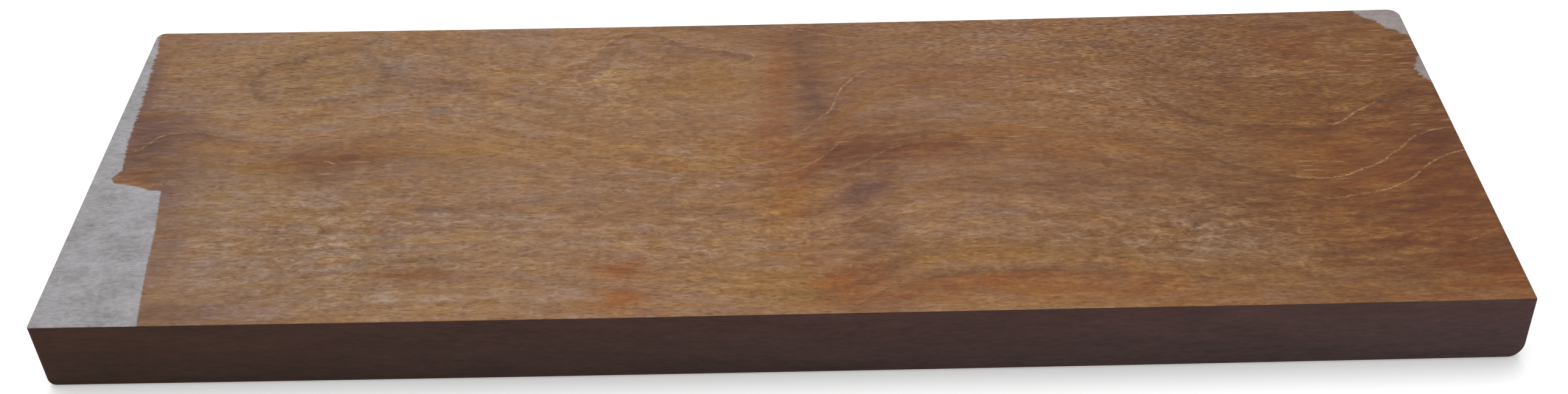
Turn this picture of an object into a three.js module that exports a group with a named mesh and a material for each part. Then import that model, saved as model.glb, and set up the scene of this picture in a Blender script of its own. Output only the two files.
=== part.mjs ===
// A mahogany billet: one short, thick board of solid timber, sawn to length and planed flat on both faces.
// It lies on its underside, with the grain along X. Millimetres, +Z up.
// The origin is at the middle of the board's bounding box, on the surface that it rests on.
import * as THREE from "three";

// The planed board: 20 x 7 in. stock, surfaced to a little over 1 in.
const LENGTH = 508;
const WIDTH = 178;
const THICKNESS = 27.5;

// The long edges were ripped freehand and aren't quite straight.
const FRONT_EDGE_BULGE = 0.6; // how far the middle of the front edge stands out
const BACK_EDGE_HOLLOW = 2; // how far the middle of the back edge falls in

// Both ends were cut slightly out of square, so their lower edges stand this far towards +X.
const END_LEAN = 0.8;

// The four upright corners, as radii seen from above.
const FRONT_LEFT_CORNER = 1.5;
const FRONT_RIGHT_CORNER = 1.2;
const BACK_RIGHT_CORNER = 4.5;
const BACK_LEFT_CORNER = 3;

// The arrises round the upper and lower face, as radii seen in section.
const UPPER_ARRIS = { left: 1, right: 1, front: 0.4, back: 0.8 };
const LOWER_ARRIS = { left: 3, right: 6.5, front: 1.5, back: 1.5 };

// How finely the curves are cut into flats.
const CORNER_STEPS = 7;
const EDGE_STEPS = 16;
const LOWER_STEPS = 9;
const UPPER_STEPS = 4;

const MAHOGANY = new THREE.Color(0x8a6448);

// How far a rounded arris of this radius stands in from the side wall, at a distance from its flat face.
function inset(radius, distance) {
  if (distance >= radius) return 0;
  return radius - Math.sqrt(radius ** 2 - (radius - distance) ** 2);
}

// Distances from a flat face, closest together where its largest arris turns fastest.
function arrisHeights(arris, steps) {
  const largest = Math.max(...Object.values(arris));
  const angles = Array.from({ length: steps + 1 }, (_, i) => (i / steps) * (Math.PI / 2));
  return angles.map((angle) => largest * (1 - Math.cos(angle)));
}

// The heights at which the board is sliced, from its underside to its top.
function sliceHeights() {
  const lower = arrisHeights(LOWER_ARRIS, LOWER_STEPS);
  const upper = arrisHeights(UPPER_ARRIS, UPPER_STEPS).map((distance) => THICKNESS - distance);
  return [...lower, ...upper.reverse()];
}

// The four sides of the board at a height: its lean, less what the arrises take off.
function sidesAt(height) {
  const taken = (side) =>
    inset(LOWER_ARRIS[side], height) + inset(UPPER_ARRIS[side], THICKNESS - height);
  const lean = END_LEAN * (1 - height / THICKNESS);
  return {
    left: -LENGTH / 2 + lean + taken("left"),
    right: LENGTH / 2 + lean - taken("right"),
    front: -WIDTH / 2 + taken("front"),
    back: WIDTH / 2 - taken("back"),
  };
}

// The points of a curve, without its first one.
function walk(curve, steps) {
  return curve.getPoints(steps).slice(1);
}

// A quarter round at a corner. The centre stands inside the corner by the radius on both axes.
function cornerArc(x, y, radius, startAngle) {
  const centreX = x - Math.sign(x) * radius;
  const centreY = y - Math.sign(y) * radius;
  const endAngle = startAngle + Math.PI / 2;
  return new THREE.EllipseCurve(centreX, centreY, radius, radius, startAngle, endAngle);
}

// A long edge from one end to the other whose middle stands off the straight line by a distance in y.
function longEdge(from, to, rise) {
  // A quadratic curve passes half-way between its chord and its control point.
  const control = from.clone().lerp(to, 0.5).add(new THREE.Vector2(0, 2 * rise));
  return new THREE.QuadraticBezierCurve(from, control, to);
}

// The board's outline at a height, anticlockwise from the right end of the front edge.
function sliceOutline(height) {
  const { left, right, front, back } = sidesAt(height);
  const arcs = [
    cornerArc(right, front, FRONT_RIGHT_CORNER, -Math.PI / 2),
    cornerArc(right, back, BACK_RIGHT_CORNER, 0),
    cornerArc(left, back, BACK_LEFT_CORNER, Math.PI / 2),
    cornerArc(left, front, FRONT_LEFT_CORNER, Math.PI),
  ];
  const [frontRight, backRight, backLeft, frontLeft] = arcs;
  const backEdge = longEdge(backRight.getPoint(1), backLeft.getPoint(0), -BACK_EDGE_HOLLOW);
  const frontEdge = longEdge(frontLeft.getPoint(1), frontRight.getPoint(0), -FRONT_EDGE_BULGE);
  return [
    ...walk(frontRight, CORNER_STEPS),
    backRight.getPoint(0),
    ...walk(backRight, CORNER_STEPS),
    ...walk(backEdge, EDGE_STEPS),
    ...walk(backLeft, CORNER_STEPS),
    frontLeft.getPoint(0),
    ...walk(frontLeft, CORNER_STEPS),
    ...walk(frontEdge, EDGE_STEPS),
  ];
}

// Two triangles for each side of a wall between one slice and the one above it.
function wallFaces(slice, count) {
  const below = slice * count;
  const above = below + count;
  return Array.from({ length: count }, (_, i) => {
    const j = (i + 1) % count;
    return [below + i, below + j, above + j, below + i, above + j, above + i];
  }).flat();
}

// The closed surface of the board: walls between the slices, and a flat cap on the first and the last.
function boardGeometry() {
  const heights = sliceHeights();
  const outlines = heights.map(sliceOutline);
  const count = outlines[0].length;
  const last = outlines.length - 1;
  const positions = outlines.flatMap((points, k) => points.flatMap((p) => [p.x, p.y, heights[k]]));
  const walls = outlines.slice(0, last).flatMap((_, k) => wallFaces(k, count));
  const underside = THREE.ShapeUtils.triangulateShape(outlines[0], []);
  const top = THREE.ShapeUtils.triangulateShape(outlines[last], []);
  const geometry = new THREE.BufferGeometry();
  geometry.setAttribute("position", new THREE.Float32BufferAttribute(positions, 3));
  geometry.setIndex([
    ...walls,
    ...underside.flatMap(([a, b, c]) => [a, c, b]),
    ...top.flatMap((face) => face.map((index) => index + last * count)),
  ]);
  return geometry;
}

// The billet, moved so that the middle of its bounding box is over the origin.
function billet() {
  const geometry = boardGeometry();
  geometry.computeBoundingBox();
  const middle = geometry.boundingBox.getCenter(new THREE.Vector3());
  geometry.translate(-middle.x, -middle.y, 0);
  geometry.computeVertexNormals();
  const material = new THREE.MeshStandardMaterial({ color: MAHOGANY, roughness: 0.55, metalness: 0 });
  const mesh = new THREE.Mesh(geometry, material);
  mesh.name = "billet";
  return mesh;
}

const board = new THREE.Group();
board.add(billet());

export default board;
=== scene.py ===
# %% [markdown]
# # A mahogany billet
# A billet is a short, thick board of good timber, sold to be made into something else. This one was
# sawn to length, planed on both faces and wiped with oil on top, which brings up the colour. The oil
# was stopped short of the left end and of the back right corner, where the wood is still dry and pale.
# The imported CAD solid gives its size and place. It is loaded first, and everything is set against it.

import math

import bpy
import numpy as np
from mathutils import Matrix, Vector


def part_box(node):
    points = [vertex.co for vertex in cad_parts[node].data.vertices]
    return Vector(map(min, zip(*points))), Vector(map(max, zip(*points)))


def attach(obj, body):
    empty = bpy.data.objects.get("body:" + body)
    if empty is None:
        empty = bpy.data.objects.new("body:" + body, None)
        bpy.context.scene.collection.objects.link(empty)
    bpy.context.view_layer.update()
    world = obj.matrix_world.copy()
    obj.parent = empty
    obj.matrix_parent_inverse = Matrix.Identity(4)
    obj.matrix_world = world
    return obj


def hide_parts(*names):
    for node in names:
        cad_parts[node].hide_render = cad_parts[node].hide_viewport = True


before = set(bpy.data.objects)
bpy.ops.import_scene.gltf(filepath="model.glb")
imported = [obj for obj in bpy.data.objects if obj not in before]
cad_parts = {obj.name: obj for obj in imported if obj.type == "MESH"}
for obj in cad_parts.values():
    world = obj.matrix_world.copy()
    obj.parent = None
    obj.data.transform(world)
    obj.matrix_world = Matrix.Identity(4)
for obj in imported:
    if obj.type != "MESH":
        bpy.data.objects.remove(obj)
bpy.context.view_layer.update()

MM = 0.001  # Blender works in metres, and the drawing of the board is in millimetres

low, high = (np.array(corner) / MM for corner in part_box("billet"))
print("CAD box in mm:", low.round(2), high.round(2))

# %% [markdown]
# ## The drawing of the board
# The board is drawn as its maker would see it: the middle of the top face is x = 0, y = 0, the grain
# runs along x, and the underside is z = 0. It isn't a perfect box. The long edges were ripped freehand,
# so one bulges and one is hollow. The ends lean a little, the corners are rounded, and the lower edge of
# the right end is worn away. These are the CAD solid's own sizes, and only its thickness is read back.

# %% The sizes that give the board its shape
LENGTH = 508.0
WIDTH = 178.0
THICKNESS = high[2] - low[2]
FRONT_EDGE_BULGE = 0.6
BACK_EDGE_HOLLOW = 2.0
END_LEAN = 0.8
CORNERS = {"front_left": 1.5, "front_right": 1.2, "back_right": 4.5, "back_left": 3.0}
UPPER_ARRIS = {"front": 0.4, "right": 1.0, "back": 0.8, "left": 1.0}
LOWER_ARRIS = {"front": 1.5, "right": 6.5, "back": 1.5, "left": 3.0}

# Each side of the outline: the way that it runs, its two corners, and how far its middle stands out.
SIDES = {
    "front": ((1, 0), "front_left", "front_right", FRONT_EDGE_BULGE),
    "right": ((0, 1), "front_right", "back_right", 0.0),
    "back": ((-1, 0), "back_right", "back_left", -BACK_EDGE_HOLLOW),
    "left": ((0, -1), "back_left", "front_left", 0.0),
}


def inset(radius, distance):
    """How far a quarter-round edge stands in from the wall, at a distance from the flat face.

    In words: radius minus the root of radius squared less (radius minus distance) squared.
    """
    left_over = np.clip(radius - distance, 0, None)
    return radius - np.sqrt(radius**2 - left_over**2)


def sides_at(heights):
    """Where the four sides stand at each height: the lean, less what both rounded edges take off."""
    lean = END_LEAN * (1 - heights / THICKNESS)
    taken = {
        side: inset(LOWER_ARRIS[side], heights) + inset(UPPER_ARRIS[side], THICKNESS - heights)
        for side in SIDES
    }
    return {
        "front": -WIDTH / 2 + taken["front"],
        "right": LENGTH / 2 + lean - taken["right"],
        "back": WIDTH / 2 - taken["back"],
        "left": -LENGTH / 2 + lean + taken["left"],
    }


# %% [markdown]
# ## The skin of the board
# One closed skin is better here than a box with a Bevel modifier, because every edge has a radius of its
# own. The walls are a stack of outlines, one for each height. Each outline is four sides, and each side
# is half a corner arc, a long edge, and half of the next corner arc. The top and the underside are flat
# sheets stretched between the four sides of the last and the first outline.

# %% One side of the outline, at every height
GRID = 1.6  # spacing of the skin's points, fine enough to carry the figure of the wood
ARC_STEPS = 4


def arc(centre, radius, angles, along, out):
    """Points at angles on a corner's arc, for each of the centres."""
    spoke = np.cos(angles)[:, None] * out + np.sin(angles)[:, None] * along
    return centre[:, None] + radius * spoke


def corner_points(walls, name):
    """Where two walls would meet at each height if the corner were sharp."""
    y_wall, x_wall = name.split("_")
    return np.stack([walls[x_wall], walls[y_wall]], axis=1)


def side_curve(side, walls, count):
    """The points of one side, as an array of heights x points x 2.

    In words: with t the way along, n the way out and r the corner's radius, an arc point is the
    arc's centre plus r (n cos a + t sin a), and an edge point is the straight line plus
    n 4 rise s (1 - s), where s runs from 0 to 1 along the edge.
    """
    way, first, last, rise = SIDES[side]
    along = np.array(way, float)
    out = np.array([along[1], -along[0]])
    start, end = corner_points(walls, first), corner_points(walls, last)
    turn = np.linspace(0, math.pi / 4, ARC_STEPS + 1)
    opening = arc(start + CORNERS[first] * (along - out), CORNERS[first], -turn[::-1], along, out)
    closing = arc(end - CORNERS[last] * (along + out), CORNERS[last], turn, along, out)
    share = np.linspace(0, 1, count - 2 * ARC_STEPS + 1)[None, 1:-1, None]
    straight = opening[:, -1:] * (1 - share) + closing[:, :1] * share
    edge = straight + out * 4 * rise * share * (1 - share)
    return np.concatenate([opening, edge, closing], axis=1)


# %% Heights of the outlines, closest together where the edges turn
def wall_heights():
    """Heights from the underside to the top: both rounded edges, and even steps between them."""
    foot = max(LOWER_ARRIS.values())
    brow = max(UPPER_ARRIS.values())
    lower = foot * (1 - np.cos(np.linspace(0, math.pi / 2, 12)))
    upper = THICKNESS - brow * (1 - np.cos(np.linspace(math.pi / 2, 0, 6)))
    between = np.arange(foot + GRID, THICKNESS - brow - GRID / 2, GRID)
    return np.concatenate([lower, between, upper])


heights = wall_heights()
walls = sides_at(heights)
NX = round(LENGTH / GRID)
NY = round(WIDTH / GRID)
curves = {side: side_curve(side, walls, NX if way[0] else NY) for side, (way, *_) in SIDES.items()}
loops = np.concatenate([curve[:, :-1] for curve in curves.values()], axis=1)
print("outlines:", len(heights), "points in each:", loops.shape[1])


# %% The flat sheets and the whole skin
def sheet_between(level):
    """The points of a flat sheet inside one outline, as an array of NY + 1 rows of NX + 1 points.

    In words: a Coons patch. Add the sheet ruled from front to back to the sheet ruled from left to
    right, and take away the sheet ruled between the four corners.
    """
    front, right = curves["front"][level], curves["right"][level]
    back, left = curves["back"][level][::-1], curves["left"][level][::-1]
    u = np.linspace(0, 1, NX + 1)[None, :, None]
    v = np.linspace(0, 1, NY + 1)[:, None, None]
    lengthways = (1 - v) * front[None] + v * back[None]
    crossways = (1 - u) * left[:, None] + u * right[:, None]
    front_corners = (1 - u) * front[0] + u * front[-1]
    back_corners = (1 - u) * back[0] + u * back[-1]
    return lengthways + crossways - (1 - v) * front_corners - v * back_corners


def sheet_indices(level, first_inner):
    """The point numbers of a sheet: its rim shares the outline's points, and the rest are new."""
    count = loops.shape[1]
    ring = level * count + np.arange(count + 1) % count
    numbers = np.empty((NY + 1, NX + 1), int)
    numbers[1:-1, 1:-1] = first_inner + np.arange((NY - 1) * (NX - 1)).reshape(NY - 1, NX - 1)
    numbers[0] = ring[: NX + 1]
    numbers[:, -1] = ring[NX : NX + NY + 1]
    numbers[-1] = ring[NX + NY : 2 * NX + NY + 1][::-1]
    numbers[:, 0] = ring[2 * NX + NY :][::-1]
    return numbers


def grid_faces(numbers):
    """The four corners of every square in a grid of point numbers, anticlockwise."""
    squares = [numbers[:-1, :-1], numbers[:-1, 1:], numbers[1:, 1:], numbers[1:, :-1]]
    return np.stack(squares, axis=-1).reshape(-1, 4)


levels, ring_count = loops.shape[:2]
wall_z = np.broadcast_to(heights[:, None, None], (levels, ring_count, 1))
wall_points = np.concatenate([loops, wall_z], axis=2).reshape(-1, 3)
inner = {}
for name, level in {"under": 0, "top": levels - 1}.items():
    flat = sheet_between(level)[1:-1, 1:-1].reshape(-1, 2)
    inner[name] = np.column_stack([flat, np.full(len(flat), heights[level])])
points = np.concatenate([wall_points, inner["under"], inner["top"]])
under_numbers = sheet_indices(0, levels * ring_count)
top_numbers = sheet_indices(levels - 1, levels * ring_count + len(inner["under"]))
wall_numbers = np.arange(levels * ring_count).reshape(levels, ring_count)
wall_numbers = np.concatenate([wall_numbers, wall_numbers[:, :1]], axis=1)
faces = np.concatenate(
    [grid_faces(wall_numbers), grid_faces(under_numbers)[:, ::-1], grid_faces(top_numbers)]
)
print("points:", len(points), "faces:", len(faces))

# %% [markdown]
# The CAD solid is centred on its bounding box. The drawing is moved by the same amount, so that the skin
# lies exactly on the solid that it replaces.

# %% Put the skin in Blender
middle = (points.min(axis=0) + points.max(axis=0)) / 2
to_frame = np.array([-middle[0], -middle[1], 0.0])
mesh = bpy.data.meshes.new("mahogany_board")
mesh.from_pydata(((points + to_frame) * MM).tolist(), [], faces.tolist())
mesh.shade_smooth()
board = bpy.data.objects.new("mahogany_board", mesh)
bpy.context.scene.collection.objects.link(board)
print("moved by", to_frame.round(3), "mm")

# %% [markdown]
# ## The growth layers
# A tree grows in layers, and the plane cuts through them. Where the trunk swelled or a branch began, the
# layers bend, and their cut edges show on the face as long wavy lines. Seven of those lines are drawn
# here. Every other layer is fitted between its two neighbours, so one number for each point of
# the skin, its layer, carries the whole figure.

# %% The lines, as points (x, y) on the top face
# Each has the height at which the same layer would lie in a straight-grained board.
LAYER_LINES = {
    "front_edge": (-76, [
        (-260, -78), (-200, -74), (-150, -66), (-100, -66), (-60, -74), (-20, -84), (10, -88), (25, -86),
        (33, -79), (40, -75), (48, -71.5), (65, -69), (90, -68.5), (115, -70), (150, -75), (185, -82),
        (220, -84), (260, -80)]),
    "low": (-46, [
        (-260, -40), (-220, -44), (-180, -48), (-120, -45), (-60, -46), (-20, -50), (10, -50), (20, -44),
        (27, -40), (33, -35), (40, -30), (50, -25), (70, -23), (100, -28), (130, -36), (160, -44),
        (200, -46), (225, -42), (245, -36), (260, -32)]),
    "lower_wave": (-22, [
        (-260, -20), (-225, -15), (-180, -21), (-140, -22), (-100, -20), (-60, -24), (-27, -28), (0, -25),
        (12, -17), (23, -11), (30, -7.5), (36, -3), (41, 1), (48, 4), (58, 5.3), (80, 3), (105, -3),
        (130, -10), (155, -20), (175, -29), (190, -32.5), (200, -33.5), (206, -32), (215, -30),
        (221, -28), (226, -25), (231, -21.5), (235, -17), (240, -13), (245, -9.5), (250, -7.5), (260, -5)]),
    "wave": (-2, [
        (-260, 5), (-242, 8.5), (-239.5, 11), (-237.5, 15), (-235, 17.5), (-232, 19.5), (-220, 20),
        (-215, 18), (-200, 13), (-190, 8), (-170, 12), (-150, 17), (-140, 19), (-120, 15), (-100, 8),
        (-80, 1), (-60, -5), (-40, -9), (-27, -11), (-7, -13), (3, -12.5), (9, -9.5), (14, -5.5),
        (18, -1), (22, 4.5), (28, 9), (36, 13.5), (44, 16), (50, 17.8), (58, 19), (70, 18), (84, 17.2),
        (110, 12), (130, 5), (143, 0), (150, -2), (160, -8), (170, -14), (180, -19), (189.5, -20.5),
        (195, -21.5), (202, -21.5), (208, -19.5), (213, -16.5), (217.5, -14.8), (222, -12), (226, -8),
        (231.5, -3.5), (235, 0.5), (240, 4), (245, 6.5), (260, 9)]),
    "hill": (28, [
        (-260, 46), (-235, 38), (-210, 32), (-180, 33), (-160, 42), (-150, 48), (-130, 47), (-110, 42),
        (-95, 37), (-75, 28), (-55, 20), (-30, 13), (-10, 9), (3, 10), (10, 14), (17, 23), (20.5, 26),
        (21.5, 31), (23, 38), (25, 41.5), (28, 45), (30, 48.5), (34, 52), (40, 56.5), (50, 58),
        (60, 57), (100, 52), (120, 45), (140, 35), (150, 24), (160, 16), (170, 12.5), (190, 11.5),
        (200, 11.5), (209, 10.7), (212.5, 12.5), (215, 14.5), (218, 17.5), (222, 20.5), (232, 27),
        (245, 33), (260, 37)]),
    "shoulder": (56, [
        (-260, 60), (-235, 62), (-215, 68), (-200, 75), (-180, 78), (-165, 77), (-150, 68), (-135, 62),
        (-110, 58), (-90, 56), (-78, 60), (-72, 68), (-70, 73), (-66, 78.5), (-60, 82.2), (-54, 82.5),
        (-47, 80), (-41, 75.5), (-36, 71.5), (-25, 69.2), (-17, 67.5), (-11, 65), (0, 64), (15, 62),
        (28, 63), (40, 66), (60, 68), (100, 64), (130, 57), (155, 44), (175, 34), (200, 32), (225, 40),
        (245, 46), (260, 48)]),
    "back_edge": (76, [
        (-260, 96), (-30, 96), (-5, 90), (4, 84), (7.5, 82.2), (15, 79.5), (22, 77), (30, 75.5),
        (45, 74), (70, 78), (110, 80), (150, 74), (190, 66), (225, 70), (260, 76)]),
}


def line_height(name, x):
    """The height of a layer line at each x, on straight stretches between its points, with eased bends."""
    knots = np.array(LAYER_LINES[name][1], float)
    eased = [np.interp(x + shift, *knots.T) for shift in (-1.5, -0.5, 0.5, 1.5)]
    return np.mean(eased, axis=0)


def layer_of(x, y):
    """The layer at each place, in mm.

    In words: start at the lowest line's layer, and for each pair of neighbouring lines add the
    difference of their layers times the share of the way that the place is between them.
    """
    reach = 140.0
    bases = [-reach] + [base for base, _ in LAYER_LINES.values()] + [reach]
    drawn = [line_height(name, x) for name in LAYER_LINES]
    lines = [np.full_like(x, -reach)] + drawn + [np.full_like(x, reach)]
    layer = np.full_like(x, -reach)
    for k in range(len(lines) - 1):
        share = np.clip((y - lines[k]) / (lines[k + 1] - lines[k]), 0, 1)
        layer += (bases[k + 1] - bases[k]) * share
    return layer


# %% Give every point of the skin its layer
LAYER_SLOPE = 0.7  # below the face the layers run on towards the front, so the ends show slanting rings

x, y, z = points.T
below = THICKNESS - z
layer = layer_of(x, y - LAYER_SLOPE * below)


def attribute(name, values):
    """Stores a number or a colour for each point of the skin, under a name that the material reads."""
    values = np.asarray(values, np.float32)
    kind, field = ("FLOAT_COLOR", "color") if values.ndim == 2 else ("FLOAT", "value")
    mesh.attributes.new(name, kind, "POINT").data.foreach_set(field, values.ravel())


attribute("layer", layer)
print("layers from", layer.min().round(1), "to", layer.max().round(1))

# %% [markdown]
# ## Pale threads and dark lower sides
# Mahogany ends each growth layer with a hair-thin line of pale, soft cells. It shows only here and there.
# On the lower side of such a line the wood starts dark and clears over a few millimetres. The skin stores
# how far each point lies above or below the nearest line, because a distance with a sign stays exact
# between the points. It also stores how pale the thread is there, and how dark the lower side.

# %% Runs of a layer line: its name, from x, to x, how pale the thread, how dark the lower side
LINE_RUNS = [
    ("wave", -243, -231, 0.6, 0.4), ("wave", -231, -203, 0.35, 0.8), ("wave", -158, -122, 0.2, 0.7),
    ("wave", -122, -27, 0.0, 0.45), ("wave", -14, 26, 0.4, 0.7), ("wave", 26, 88, 0.35, 0.4),
    ("wave", 143, 188, 0.0, 0.7), ("wave", 188, 256, 0.8, 0.4),
    ("lower_wave", 26, 48, 0.4, 0.5), ("lower_wave", 48, 74, 0.2, 0.8), ("lower_wave", 196, 256, 0.7, 0.3),
    ("hill", 9, 19, 0.35, 0.2), ("hill", 19, 34, 0.8, 0.3), ("hill", 34, 90, 0.3, 0.5),
    ("hill", -155, -75, 0.0, 0.5), ("hill", 148, 190, 0.0, 0.8), ("hill", 186, 210, 0.35, 0.5),
    ("hill", 210, 226, 0.9, 0.4), ("shoulder", -71, -9, 0.6, 0.45), ("back_edge", 2, 32, 0.5, 0.3),
    ("front_edge", 22, 160, 0.2, 0.8), ("low", 18, 46, 0.25, 0.2),
]
# Short threads that double back, as points (x, y), and how pale they are.
LOOSE_THREADS = [
    ([(-10, 65.5), (-8.8, 62.5), (-11, 60), (-14, 58.3), (-18.5, 58)], 0.6),
    ([(240, -57.8), (244, -56), (249, -53.5)], 0.3), ([(202, -42.5), (212, -43.3), (221, -42.5)], 0.2),
    ([(224, -51), (236, -45.5), (250, -37)], 0.15), ([(-178, -24), (-174.5, -22.5), (-172, -26)], 0.5),
    ([(-166, -1.5), (-168, -0.2), (-172, -0.6)], 0.6), ([(83, -33.5), (100, -35)], 0.5),
]
LINE_REACH = 6.5


def fade(value, start, end, soft):
    """1 between start and end, falling to 0 over soft mm outside them."""
    return np.clip(1 - np.maximum(start - value, value - end) / soft, 0, 1)


def distance_to(path, x, y):
    """The distance from each place to a path of straight stretches, and the distance to its left side.

    In words: the nearest point of a stretch is its start plus a share of the way to its end, cut off
    at both ends. The distance to the side is the cross product of the stretch's way and the place.
    """
    nearest, sideways = np.full_like(x, np.inf), np.zeros_like(x)
    for (x0, y0), (x1, y1) in zip(path, path[1:]):
        dx, dy = x1 - x0, y1 - y0
        length = math.hypot(dx, dy)
        share = np.clip(((x - x0) * dx + (y - y0) * dy) / length**2, 0, 1)
        distance = np.hypot(x - x0 - share * dx, y - y0 - share * dy)
        side = ((y - y0) * dx - (x - x0) * dy) / length
        sideways = np.where(distance < nearest, side, sideways)
        nearest = np.minimum(nearest, distance)
    return nearest, sideways


def nearest_path(paths, x, y):
    """For each place, the signed distance to the nearest path, and how strong that path is there."""
    both = [distance_to(path, x, y) for path, _ in paths]
    nearest, sideways = (np.array(values) for values in zip(*both))
    strengths = np.array([strength for _, strength in paths])[:, None]
    past_end = np.clip(1.5 - (nearest - np.abs(sideways)), 0, 1)
    strength = strengths * past_end * np.clip((LINE_REACH - nearest) / 2, 0, 1)
    pick = nearest.argmin(axis=0)[None]
    signed = np.sign(sideways) * nearest
    return np.take_along_axis(signed, pick, axis=0)[0], np.take_along_axis(strength, pick, axis=0)[0]


def nearest_lines(x, y):
    """For each place, the signed distance to the nearest line, its paleness and its darkness.

    In words: a line counts as farther off where its runs fade, and its marks fade where two lines are
    about equally near, so that the signed distance never changes sides under a mark.
    """
    distances, away, pales, darks = [], [], [], []
    for name in LAYER_LINES:
        slope = line_height(name, x + 0.5) - line_height(name, x - 0.5)
        distance = (y - line_height(name, x)) / np.sqrt(1 + slope**2)
        runs = [(fade(x, start, end, 4.0), *marks) for line, start, end, *marks in LINE_RUNS if line == name]
        shown = np.max([share for share, _, _ in runs], axis=0)
        distances.append(distance)
        away.append(np.abs(distance) + LINE_REACH * (1 - shown))
        pales.append(np.max([share * thread for share, thread, _ in runs], axis=0))
        darks.append(np.max([share * side for share, _, side in runs], axis=0))
    pick = np.argmin(away, axis=0)[None]
    first, second = np.sort(away, axis=0)[:2]
    near = np.clip((LINE_REACH - first) / 2, 0, 1) * np.clip((second - first - 1) / 2, 0, 1)
    picked = [np.take_along_axis(np.array(values), pick, axis=0)[0] for values in (distances, pales, darks)]
    return picked[0], picked[1] * near, picked[2] * near


line, line_pale, line_dark = nearest_lines(x, y)
on_top = below < 2
loose, loose_pale = nearest_path(LOOSE_THREADS, x, y)
attribute("line", line)
attribute("line_pale", line_pale * on_top)
attribute("line_dark", line_dark * on_top)
attribute("loose", loose)
attribute("loose_pale", loose_pale * on_top)
print("points near a line:", int((line_pale + line_dark > 0).sum()))

# %% [markdown]
# ## Creases
# Where a knot lies just under the face, the layers close round it in an oval, and the plane cuts them in
# thin dark rings. Other layers start with such a dark crease under their pale thread.

# %% Creases, as points (x, y), and how dark they are
CREASES = [
    ([(-207, 52), (-205, 60), (-200, 65), (-193, 67), (-187, 70), (-180, 73), (-170, 73.5), (-165, 71),
      (-161, 65.5), (-157, 61.5), (-154.5, 55), (-155, 49), (-158, 44.5), (-163, 41), (-172, 39),
      (-182, 37), (-192, 37), (-200, 40), (-205, 46), (-207, 52)], 0.72),
    ([(-69, 66), (-69.8, 72), (-66, 77.2), (-60, 80.6), (-54, 81), (-47, 78.6), (-42, 74), (-38, 70.3),
      (-33, 69.2)], 0.5),
    ([(-200, 64.8), (-194, 66.5), (-190, 66.6)], 1.0), ([(-221, 19), (-212, 17.6), (-203, 15)], 0.5),
    ([(46, -71), (70, -68.2), (96, -68), (118, -69.5)], 0.6),
    ([(-21, 66.5), (-14, 63.4), (-12.5, 61.8)], 0.9),
    ([(98, 45.2), (104, 45.2)], 1.0), ([(192, 76.3), (202, 76.8), (213, 76.4)], 0.8),
    ([(-48, 44), (-42, 38), (-36, 26), (-30, 10)], 0.4), ([(-153, 50), (-132, 49.5), (-120, 45)], 0.5),
    ([(10, 45.5), (14, 38), (15, 30), (19, 25.5)], 0.5), ([(205, -43.8), (222, -41.6), (233, -38)], 0.5),
]
crease, crease_dark = nearest_path(CREASES, x, y)
attribute("crease", crease)
attribute("crease_dark", crease_dark * on_top)

# %% [markdown]
# ## Where the oil stopped
# Three places stayed dry: a strip and a broad patch at the left end, the back right corner, and a spot on
# the right end. The skin stores how far each point lies inside a dry place, which is less than 0 where
# the oil went.

# %% The edges of the oil, as points (x, y)
OIL_EDGE_LEFT = [
    (-252.5, 92), (-252.5, 86), (-250.5, 75), (-250, 65), (-249.2, 55), (-248, 43), (-247.5, 30),
    (-246.5, 15), (-245.5, 5), (-244, -3.5), (-247.3, -7.5), (-245, -11), (-240, -12), (-234.5, -13.5),
    (-231, -15.5), (-226.5, -15.7), (-225.5, -23), (-223, -38), (-221, -58), (-219, -73),
    (-216.5, -90), (-215, -120)]
OIL_EDGE_CORNER = [
    (234, 96), (236, 86), (240, 81.5), (243, 80), (245, 75.5), (249, 73.5), (251, 70.5), (254, 69),
    (262, 66)]
OIL_EDGE_RIGHT = [
    (262, 60), (254, 54.5), (251.5, 53.5), (250.5, 50), (249.5, 46.5), (250.5, 42), (252.5, 39), (254, 37),
    (262, 30)]


def inside_dry(x, y):
    """How far each place lies inside the nearest dry patch, or minus its distance from one."""
    left = np.array(OIL_EDGE_LEFT[::-1]).T
    corner = np.array(OIL_EDGE_CORNER).T
    right = np.array(OIL_EDGE_RIGHT[::-1]).T
    is_dry = [
        x < np.interp(y, left[1], left[0]),
        y > np.interp(x, corner[0], corner[1], left=200),
        x > np.interp(y, right[1], right[0], left=400, right=400),
    ]
    paths = [OIL_EDGE_LEFT, OIL_EDGE_CORNER, OIL_EDGE_RIGHT]
    signed = [np.where(dry, 1, -1) * distance_to(path, x, y)[0] for dry, path in zip(is_dry, paths)]
    return np.max(signed, axis=0)


attribute("dry", inside_dry(x, y))
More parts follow.
